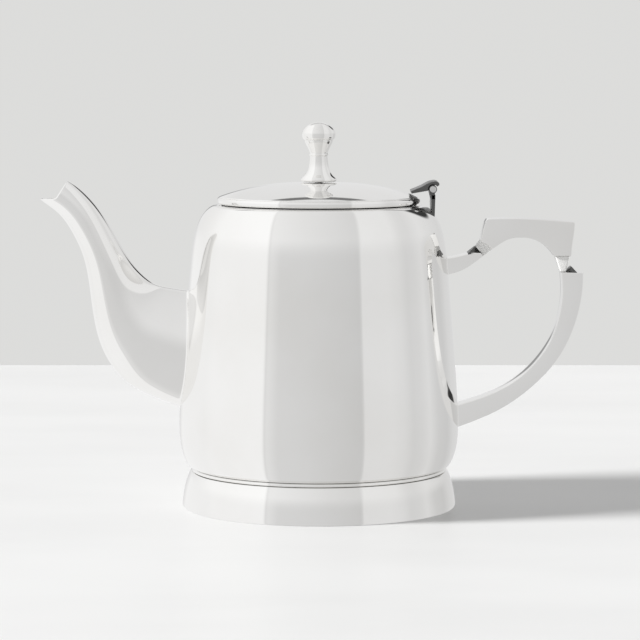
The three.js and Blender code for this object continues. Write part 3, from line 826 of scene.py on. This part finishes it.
def lid_hinge_leaf():
    """The strip from the dome out over the pin, with its curled tip, and its knuckles."""
    clear = KNUCKLE_R + 0.35
    tip_deg = 33  # so the tip clears the body's plate when the lid is wide open
    tip_r = 3.3
    heel = round_pin(clear, 196, tip_deg)
    line = np.vstack([
        [(40.6, 138.75)],
        heel,
        spline([
            round_pin(tip_r, tip_deg, tip_deg, 1)[0], (52.6, 143.3), (51.6, 143.95), (50.2, 144.0),
            (48.4, 143.5), (45.0, 141.75),
        ]),
        [(40.3, 139.8)],
    ])
    parts = [plate(line, HINGE_WIDTH, edge=0.2)]
    for middle in knuckle_middles(1):
        web = [(PIN_X - 0.9, PIN_Z - 0.5), *round_pin(clear + 0.3, 190, 60), (PIN_X + 0.5, PIN_Z + 1.0)]
        parts += [plate(web, KNUCKLE_LENGTH, edge=0.1, middle=middle), knuckle(middle)]
    return make("fine_lid_hinge_leaf", *merged(*parts))


def hinge_pin():
    under = HINGE_WIDTH / 2 + 0.3
    end = under + PIN_HEAD_LENGTH
    face_r = PIN_HEAD_R - 0.1
    line = outline([
        (0, -end), (face_r, -end, 0.35), (PIN_HEAD_R, -under, 0.1), (HINGE_PIN_R, -under),
        (HINGE_PIN_R, under), (PIN_HEAD_R, under, 0.1), (face_r, end, 0.35), (0, end),
    ])
    return make("fine_hinge_pin", *at_pin(lathe(line, 48)))


# ---------------------------------------------------------------- strainer

STRAINER_PITCH = 7.6
STRAINER_HOLE_R = 1.6
STRAINER_MIDDLE_Z = 68.0


def strainer_holes():
    """The middles of the strainer's holes as (y, z), in staggered rows."""
    middles = []
    for row in range(-2, 3):
        across = (-1, 0, 1) if row % 2 == 0 else (-0.5, 0.5)
        middles += [(step * STRAINER_PITCH, STRAINER_MIDDLE_Z + row * STRAINER_PITCH) for step in across]
    return middles


def spout_strainer():
    """The pierced plate behind the spout, bent to the inside of the body. It is drawn flat round
    its holes and then bent."""
    low, high = (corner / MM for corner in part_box("spout_strainer"))
    flat = bmesh.new()
    rim = [(low.y, low.z), (high.y, low.z), (high.y, high.z), (low.y, high.z)]
    loops = [rim]
    for y, z in strainer_holes():
        turn = np.linspace(0, 2 * math.pi, 28, endpoint=False)
        loops.append([(y + STRAINER_HOLE_R * math.cos(a), z + STRAINER_HOLE_R * math.sin(a)) for a in turn])
    for loop in loops:
        ring = [flat.verts.new((0, y, z)) for y, z in loop]
        for first, second in zip(ring, ring[1:] + ring[:1]):
            flat.edges.new((first, second))
    bmesh.ops.triangle_fill(flat, use_beauty=True, edges=flat.edges[:])
    for y in np.linspace(low.y, high.y, 24)[1:-1]:
        everything = flat.verts[:] + flat.edges[:] + flat.faces[:]
        bmesh.ops.bisect_plane(flat, geom=everything, plane_co=(0, y, 0), plane_no=(0, 1, 0))
    for z in np.linspace(low.z, high.z, 16)[1:-1]:
        everything = flat.verts[:] + flat.edges[:] + flat.faces[:]
        bmesh.ops.bisect_plane(flat, geom=everything, plane_co=(0, 0, z), plane_no=(0, 0, 1))
    flat.verts.ensure_lookup_table()
    count = len(flat.verts)
    points = []
    for depth in (BODY_WALL + 0.3, BODY_WALL + 1.3):
        for vert in flat.verts:
            radius = body_radius(vert.co.z) - depth
            points.append((-math.sqrt(radius**2 - vert.co.y**2), vert.co.y, vert.co.z))
    faces = []
    for face in flat.faces:
        corners = [vert.index for vert in face.verts]
        faces.append(tuple(corners))
        faces.append(tuple(count + i for i in reversed(corners)))
    for edge in flat.edges:
        if edge.is_boundary:
            a, b = (vert.index for vert in edge.verts)
            faces.append((a, b, count + b, count + a))
    flat.free()
    return make("fine_spout_strainer", points, faces)


# ---------------------------------------------------------------- materials

def add(tree, kind, links=(), **settings):
    """A node with its settings, and its inputs linked or set. links maps an input's name or
    number to a socket or a value."""
    node = tree.nodes.new(kind)
    for key, value in settings.items():
        setattr(node, key, value)
    for key, value in dict(links).items():
        if isinstance(value, bpy.types.NodeSocket):
            tree.links.new(value, node.inputs[key])
        else:
            node.inputs[key].default_value = value
    return node


def math_node(tree, operation, *values, clamp=False):
    node = add(tree, "ShaderNodeMath", dict(enumerate(values)), operation=operation, use_clamp=clamp)
    return node.outputs[0]


def smooth_range(tree, value, low, high, to_low=0.0, to_high=1.0):
    node = add(
        tree,
        "ShaderNodeMapRange",
        {"Value": value, "From Min": low, "From Max": high, "To Min": to_low, "To Max": to_high},
        interpolation_type="SMOOTHSTEP",
    )
    return node.outputs["Result"]


def mixed(tree, share, first, second):
    """A colour between two, each a socket or three numbers."""
    links = {0: share}
    for key, colour in ((6, first), (7, second)):
        links[key] = colour if isinstance(colour, bpy.types.NodeSocket) else (*colour, 1)
    return add(tree, "ShaderNodeMix", links, data_type="RGBA").outputs[2]


def noise(tree, place, scale, detail=2.0, stretch=(1, 1, 1), roughness=0.5):
    mapped = add(tree, "ShaderNodeMapping", {"Vector": place, "Scale": stretch})
    links = {"Vector": mapped.outputs[0], "Scale": scale, "Detail": detail, "Roughness": roughness}
    return add(tree, "ShaderNodeTexNoise", links).outputs[0]


def new_material(name):
    material = bpy.data.materials.new(name)
    material.use_nodes = True
    tree = material.node_tree
    shader = tree.nodes["Principled BSDF"]
    place = add(tree, "ShaderNodeTexCoord").outputs["Object"]
    return material, tree, shader, place


def metal(name, clean, tarnished, low_rough, high_rough, wave=0.0, grain=0.0, crease_shade_and_tarnish_strength=0.0):
    """A metal whose colour, gloss and surface vary: tarnish and handling haze in patches, fine
    polishing lines, slow unevenness in the sheet, rubbed edges, and painted shade with some
    tarnish in the creases."""
    material, tree, shader, place = new_material(name)
    patches = smooth_range(tree, noise(tree, place, 22.0, 5.0), 0.35, 0.75)
    haze = smooth_range(tree, noise(tree, place, 75.0, 6.0, roughness=0.6), 0.3, 0.8)
    lines = noise(tree, place, 60.0, 3.0, stretch=(1, 1, 22))
    colour = mixed(tree, patches, clean, tarnished)
    bend = add(tree, "ShaderNodeNewGeometry").outputs["Pointiness"]
    rubbed = smooth_range(tree, bend, 0.52, 0.62, 0.0, 0.6)
    colour = mixed(tree, rubbed, colour, tuple(min(1.1 * c, 0.97) for c in clean))
    # creases are darkened towards a dull grey: painted shade, with some tarnish there
    crease_shade_and_tarnish = smooth_range(tree, bend, 0.49, 0.42, 0.0, crease_shade_and_tarnish_strength)
    colour = mixed(tree, crease_shade_and_tarnish, colour, (0.3, 0.285, 0.26))
    tree.links.new(colour, shader.inputs["Base Color"])
    shader.inputs["Metallic"].default_value = 1.0
    gloss = smooth_range(tree, haze, 0, 1, low_rough, high_rough)
    streak = smooth_range(tree, lines, 0.45, 0.8, 0.0, 0.25 * (high_rough - low_rough))
    tree.links.new(math_node(tree, "ADD", gloss, streak), shader.inputs["Roughness"])
    slow = math_node(tree, "MULTIPLY", noise(tree, place, 28.0, 1.0), wave)
    fine = math_node(tree, "MULTIPLY", noise(tree, place, 700.0, 2.0, stretch=(1, 1, 3)), grain)
    bump = add(tree, "ShaderNodeBump", {"Height": math_node(tree, "ADD", slow, fine), "Distance": MM})
    tree.links.new(bump.outputs[0], shader.inputs["Normal"])
    return material


def composition(name):
    """The insulators' moulded composition: pale grey, with faint mottling and a soft sheen."""
    material, tree, shader, place = new_material(name)
    mottle = smooth_range(tree, noise(tree, place, 140.0, 5.0), 0.3, 0.75)
    colour = mixed(tree, mottle, (0.95, 0.945, 0.93), (0.89, 0.885, 0.87))
    tree.links.new(colour, shader.inputs["Base Color"])
    tree.links.new(smooth_range(tree, mottle, 0, 1, 0.28, 0.42), shader.inputs["Roughness"])
    grain = math_node(tree, "MULTIPLY", noise(tree, place, 1400.0, 3.0), 0.02)
    bump = add(tree, "ShaderNodeBump", {"Height": grain, "Distance": MM})
    tree.links.new(bump.outputs[0], shader.inputs["Normal"])
    return material


def table_top(name):
    """Honed pale stone: nearly plain, with the faintest clouding."""
    material, tree, shader, place = new_material(name)
    cloud = smooth_range(tree, noise(tree, place, 3.0, 4.0, stretch=(1, 2.5, 1)), 0.3, 0.7)
    colour = mixed(tree, cloud, (0.86, 0.86, 0.855), (0.81, 0.81, 0.805))
    tree.links.new(colour, shader.inputs["Base Color"])
    shader.inputs["Roughness"].default_value = 0.38
    shader.inputs["Specular IOR Level"].default_value = 0.3
    return material


SILVER = metal(
    "polished_silver", (0.935, 0.93, 0.92), (0.9, 0.892, 0.875), 0.03, 0.07, wave=0.01, crease_shade_and_tarnish_strength=0.4
)
STAINED = metal("tea_stained_silver", (0.3, 0.29, 0.265), (0.16, 0.15, 0.13), 0.12, 0.3, grain=0.002)
SATIN = metal("satin_silver", (0.82, 0.81, 0.79), (0.74, 0.72, 0.69), 0.22, 0.36, grain=0.004)
STEEL = metal("steel", (0.72, 0.72, 0.72), (0.6, 0.59, 0.58), 0.25, 0.4, grain=0.004)
# dark cast metal for the hinge, also used to paint shade on the handle arms' spurs
HINGE_METAL_AND_SPUR_SHADE = metal("hinge_metal", (0.16, 0.16, 0.157), (0.08, 0.08, 0.078), 0.28, 0.45, grain=0.008)
COMPOSITION = composition("insulator")


# ---------------------------------------------------------------- assembly

def settle(piece, body, node, slot, *materials):
    for material in materials:
        piece.data.materials.append(material)
    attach(piece, body)
    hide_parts(node)


spout_piece, bore_at_wall = spout()
UPPER_NECK = ([(69.0, 115.0), (71.2, 117.9)], [(72.4, 111.3), (76.6, 114.5)])
LOWER_NECK = ([(106.4, 103.9), (103.9, 111.3)], [(108.7, 103.9), (110.1, 111.3)])

silver_pieces = {
    "body_shell": body_shell(bore_at_wall),
    "mouth_collar": mouth_collar(),
    "foot_ring": foot_ring(),
    "foot_bead": foot_bead(),
    "spout": spout_piece,
    "handle_upper_arm": upper_arm(),
    "handle_lower_arm": lower_arm(),
    "handle_grip": handle_grip(),
    "lid_shell": lid_shell(),
    "lid_rim": lid_rim(),
    "lid_bezel": lid_bezel(),
    "finial": finial(),
}
for end in ("upper", "lower"):
    for side in ("arm", "grip"):
        silver_pieces[f"{end}_{side}_peg_pin"] = peg_pin(f"{end}_{side}_peg_pin")
LID_NODES = frame["record"]["behaviour"]["bodies"]["lid"]
# the spout's bore takes a tea stain, and the arms' spurs take dark metal as painted shade
STAIN_AND_PAINTED_SHADE = {"spout": [STAINED], "handle_upper_arm": [HINGE_METAL_AND_SPUR_SHADE], "handle_lower_arm": [HINGE_METAL_AND_SPUR_SHADE]}
for node, piece in silver_pieces.items():
    second = STAIN_AND_PAINTED_SHADE.get(node, ())
    settle(piece, "lid" if node in LID_NODES else "pot", node, "polished_silver", SILVER, *second)
settle(spout_strainer(), "pot", "spout_strainer", "satin_silver", SATIN)
settle(finial_washer(), "lid", "finial_washer", "satin_silver", SATIN)
settle(finial_stud(), "lid", "finial_stud", "steel", STEEL)
settle(finial_nut(), "lid", "finial_nut", "steel", STEEL)
settle(hinge_pin(), "pot", "hinge_pin", "steel", STEEL)
settle(body_hinge_leaf(), "pot", "body_hinge_leaf", "hinge_metal", HINGE_METAL_AND_SPUR_SHADE)
settle(lid_hinge_leaf(), "lid", "lid_hinge_leaf", "hinge_metal", HINGE_METAL_AND_SPUR_SHADE)
settle(insulator("fine_upper_insulator", *UPPER_NECK), "pot", "upper_insulator", "insulator", COMPOSITION)
settle(insulator("fine_lower_insulator", *LOWER_NECK), "pot", "lower_insulator", "insulator", COMPOSITION)


# ---------------------------------------------------------------- studio

TABLE_HALF_WIDTH = 1.2
TABLE_NEAR_Y = -0.8
TABLE_FAR_Y = 0.58
WALL_LIGHT = 0.72
AMBIENT = 0.46  # how much of the room's light the dull surfaces get

# The room as a mirror shows it to someone in front of the pot, as pairs of the way the mirror's
# reflection has turned, in degrees from the front, and the brightness seen in it. There are soft
# boxes with duller gaps between them.
UPRIGHT_MIRROR = [  # a mirror that stands upright
    (-180, 0.72), (-165, 0.75), (-152, 0.93), (-110, 0.92), (-100, 0.94), (-47, 0.94), (-45, 0.74),
    (-43, 0.79), (-34, 0.70), (-10, 0.68), (27, 0.63), (36, 0.615), (38, 0.77), (62, 0.775),
    (75, 0.74), (84, 0.68), (94, 0.70), (104, 0.75), (116, 0.65), (131, 0.62), (145, 0.70), (180, 0.72),
]
LEANING_MIRROR = [  # one that leans back a little
    (-180, 0.80), (-130, 0.92), (-105, 1.0), (-47, 1.03), (-45, 0.83), (-43, 0.88), (-27, 0.84), (0, 0.78),
    (29, 0.72), (36, 0.715), (39, 0.855), (70, 0.835), (82, 0.75), (90, 0.735), (108, 0.80), (130, 0.74),
    (152, 0.70), (180, 0.75),
]
LYING_MIRROR = 0.79  # one that lies nearly flat, and shows the wall behind
UNDERSIDE_MIRROR = 0.4  # one that faces down, and shows the dull floor

# Dark things behind the pot. They draw the thin dark lines on the dome, the lower arm and the
# spout. The bar and the doorway are given as how far they reach aside and up, per distance behind.
DARKNESS = 0.04
BAR = {"aside": (-0.42, 0.5), "up": (0.765, 0.875), "strength": 0.8}
DOORWAY = {"aside": (-0.15, -0.05), "up": (-0.02, 0.1), "strength": 0.65}
NEAREST_BEHIND = 0.05  # directions that lead back less than this miss them
SPOT_INNER_DEG = 7
SPOT_OUTER_DEG = 12
SPOT_WAY = (0.4545, 0.766, 0.4545)  # a dark lamp shade high behind the pot on its right


def bands(tree, turn, stops):
    ramp = add(tree, "ShaderNodeValToRGB", {"Fac": turn})
    elements = ramp.color_ramp.elements
    while len(elements) < len(stops):
        elements.new(0.5)
    for element, (degrees, light) in zip(elements, sorted(stops)):
        element.position = (degrees + 180) / 360
        element.color = (light, light, light, 1)
    return ramp.outputs["Color"]


def between(tree, value, low, high, soft):
    """1 where a value is between low and high, and 0 beyond."""
    rise = smooth_range(tree, value, low - soft, low + soft)
    fall = smooth_range(tree, value, high - soft, high + soft, 1.0, 0.0)
    return math_node(tree, "MULTIPLY", rise, fall)


def opening_behind(tree, shape, aside, rise, depth, soft_aside, soft_up):
    """How far a direction is into a dark thing behind the pot, from 0 to its strength."""
    upward = between(tree, rise, *shape["up"], soft_up)
    inside = math_node(tree, "MULTIPLY", upward, between(tree, aside, *shape["aside"], soft_aside))
    behind = smooth_range(tree, depth, NEAREST_BEHIND, 2 * NEAREST_BEHIND, 0.0, shape["strength"])
    return math_node(tree, "MULTIPLY", inside, behind)


def studio():
    """A plain wall for the camera, and for the metal a room of soft boxes."""
    world = bpy.data.worlds.new("studio")
    bpy.context.scene.world = world
    world.use_nodes = True
    tree = world.node_tree
    tree.nodes.clear()
    way = add(tree, "ShaderNodeTexCoord").outputs["Generated"]
    parts = add(tree, "ShaderNodeSeparateXYZ", {0: way}).outputs
    mirror = add(tree, "ShaderNodeVectorMath", {0: way, 1: (0, 1, 0)}, operation="SUBTRACT").outputs[0]
    mirror = add(tree, "ShaderNodeVectorMath", {0: mirror}, operation="NORMALIZE").outputs[0]
    facing = add(tree, "ShaderNodeSeparateXYZ", {0: mirror}).outputs
    towards = math_node(tree, "MULTIPLY", facing["Y"], -1.0)
    turn = math_node(tree, "ARCTAN2", facing["X"], towards)
    # a reflection turns twice as far as its mirror, and a whole turn is the ramp's length
    turn = math_node(tree, "MULTIPLY_ADD", turn, 1 / math.pi, 0.5)
    lean = math_node(tree, "ARCSINE", facing["Z"])
    leaning = smooth_range(tree, lean, math.radians(3.5), math.radians(14))
    room = mixed(tree, leaning, bands(tree, turn, UPRIGHT_MIRROR), bands(tree, turn, LEANING_MIRROR))
    lying = smooth_range(tree, lean, math.radians(52), math.radians(66))
    room = mixed(tree, lying, room, (LYING_MIRROR, LYING_MIRROR, LYING_MIRROR))
    facing_down = smooth_range(tree, lean, math.radians(-66), math.radians(-74))
    room = mixed(tree, facing_down, room, (UNDERSIDE_MIRROR, UNDERSIDE_MIRROR, UNDERSIDE_MIRROR))

    behind = math_node(tree, "MAXIMUM", parts["Y"], NEAREST_BEHIND)
    rise = math_node(tree, "DIVIDE", parts["Z"], behind)
    aside = math_node(tree, "DIVIDE", parts["X"], behind)
    dark = opening_behind(tree, BAR, aside, rise, parts["Y"], 0.06, 0.02)
    doorway = opening_behind(tree, DOORWAY, aside, rise, parts["Y"], 0.025, 0.02)
    aligned = add(tree, "ShaderNodeVectorMath", {0: way, 1: SPOT_WAY}, operation="DOT_PRODUCT")
    outer, inner = (math.cos(math.radians(degrees)) for degrees in (SPOT_OUTER_DEG, SPOT_INNER_DEG))
    spot = smooth_range(tree, aligned.outputs["Value"], outer, inner)
    dark = math_node(tree, "MAXIMUM", math_node(tree, "MAXIMUM", dark, spot), doorway)
    lit = mixed(tree, dark, room, (DARKNESS, DARKNESS, DARKNESS))

    ray = add(tree, "ShaderNodeLightPath").outputs
    strength = smooth_range(tree, ray["Is Diffuse Ray"], 0, 1, 1.0, AMBIENT)
    reflected = add(tree, "ShaderNodeBackground", {"Color": lit, "Strength": strength})
    wall = add(tree, "ShaderNodeBackground", {"Color": (WALL_LIGHT, WALL_LIGHT, WALL_LIGHT * 0.985, 1)})
    backgrounds = {0: ray["Is Camera Ray"], 1: reflected.outputs[0], 2: wall.outputs[0]}
    mix = add(tree, "ShaderNodeMixShader", backgrounds)
    output = add(tree, "ShaderNodeOutputWorld")
    tree.links.new(mix.outputs[0], output.inputs["Surface"])


def table():
    mesh = bpy.data.meshes.new("table")
    x = TABLE_HALF_WIDTH
    corners = [(-x, TABLE_NEAR_Y, 0), (x, TABLE_NEAR_Y, 0), (x, TABLE_FAR_Y, 0), (-x, TABLE_FAR_Y, 0)]
    mesh.from_pydata(corners, [], [(0, 1, 2, 3)])
    piece = bpy.data.objects.new("table", mesh)
    piece.data.materials.append(table_top("table_top"))
    piece.visible_glossy = False  # the metal shows the room's bands right down to the foot
    bpy.context.scene.collection.objects.link(piece)


def key_light():
    """A soft light from the upper left, which throws the shadow to the pot's right."""
    sun = bpy.data.lights.new("key", "SUN")
    sun.energy = 4.3
    sun.angle = math.radians(14)
    lamp = bpy.data.objects.new("key", sun)
    aim = Vector((0.85, 0.2, -0.5))
    lamp.rotation_euler = aim.to_track_quat("-Z", "Y").to_euler()
    lamp.visible_glossy = False
    bpy.context.scene.collection.objects.link(lamp)


def camera():
    data = bpy.data.cameras.new("camera")
    data.sensor_width = 36.0
    data.lens = 162.4
    view = bpy.data.objects.new("camera", data)
    view.location = (0.0039, -1.271, 0.199)
    view.rotation_euler = (math.radians(90 - 5.24), 0, 0)
    bpy.context.scene.collection.objects.link(view)
    bpy.context.scene.camera = view


studio()
table()
key_light()
camera()
bpy.context.scene.view_settings.view_transform = "Standard"
